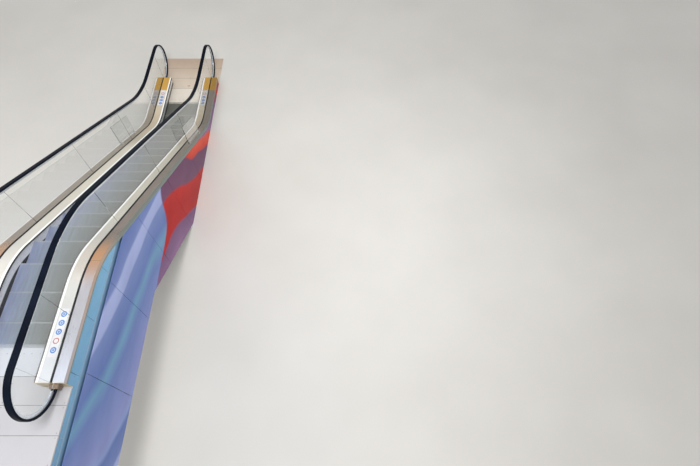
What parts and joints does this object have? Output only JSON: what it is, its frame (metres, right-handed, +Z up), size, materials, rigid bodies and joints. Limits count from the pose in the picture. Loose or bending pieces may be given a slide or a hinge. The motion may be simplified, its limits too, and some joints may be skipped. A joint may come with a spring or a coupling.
{
  "type": "escalator",
  "caption": "Indoor escalator with clear glass balustrades, rubber handrails, ribbed steps between combs, wide inner decks and a fully clad truss.",
  "frame": {"origin": "centre of the bearing face under the upper support angle, on the centre plane", "axes": "+X across the steps, +Y level from the upper landing towards the lower landing, +Z up"},
  "size_m": [1.478, 10.8103, 4.925],
  "materials": {
    "support": "satin dark grey paint",
    "truss": "satin grey paint",
    "soffit": "satin light grey paint",
    "cladding": "glossy back-printed opaque glass",
    "fascia": "glossy teal opaque glass",
    "outer_deck": "fine brushed stainless steel",
    "inner_deck": "warm bright satin steel",
    "skirt": "satin stainless steel with a dark low-friction band along its foot",
    "brush": "black bristles on a black holder",
    "light": "white diffuser",
    "clamp": "mill finish",
    "gasket": "matt black rubber",
    "balustrade_glass": "clear toughened glass with green edges",
    "guide": "bright anodised",
    "handrail": "smooth satin black rubber",
    "deck_end": "warm satin steel",
    "inlet": "matt brown-grey moulding",
    "tread": "cast, ribbed, satin grey",
    "riser": "cast, ribbed, satin grey",
    "step_frame": "as cast",
    "roller": "dark grey polyurethane",
    "track": "rolled steel",
    "comb": "light ribbed aluminium",
    "floor_plate": "pale satin etched steel",
    "guard": "clear acrylic"
  },
  "bodies": {
    "root": {"upper_support_angle": "support", "lower_support_angle": "support", "truss_chords": "truss", "truss_frames": "truss", "upper_end_plate": "truss", "lower_end_plate": "truss", "soffit_panels": "soffit", "side_cladding_left": "cladding", "side_cladding_right": "cladding", "upper_fascia_left": "fascia", "upper_fascia_right": "fascia", "outer_deck_left": "outer_deck", "outer_deck_right": "outer_deck", "inner_deck_left": "inner_deck", "inner_deck_right": "inner_deck", "skirt_left": "skirt", "skirt_right": "skirt", "skirt_brush_left": "brush", "skirt_brush_right": "brush", "skirt_light_left": "light", "skirt_light_right": "light", "glass_clamp_left": "clamp", "glass_clamp_right": "clamp", "glass_gasket_left": "gasket", "glass_gasket_right": "gasket", "glass_left": "balustrade_glass", "glass_right": "balustrade_glass", "handrail_guide_left": "guide", "handrail_guide_right": "guide", "handrail_left": "handrail", "handrail_right": "handrail", "upper_deck_ends": "deck_end", "lower_deck_ends": "deck_end", "handrail_inlets": "inlet", "step_treads": "tread", "step_risers": "riser", "step_frames": "step_frame", "step_rollers": "roller", "step_tracks": "track", "upper_comb_plate": "comb", "lower_comb_plate": "comb", "upper_floor_plates": "floor_plate", "lower_floor_plates": "floor_plate", "deck_guards": "guard"}
  },
  "joints": []
}
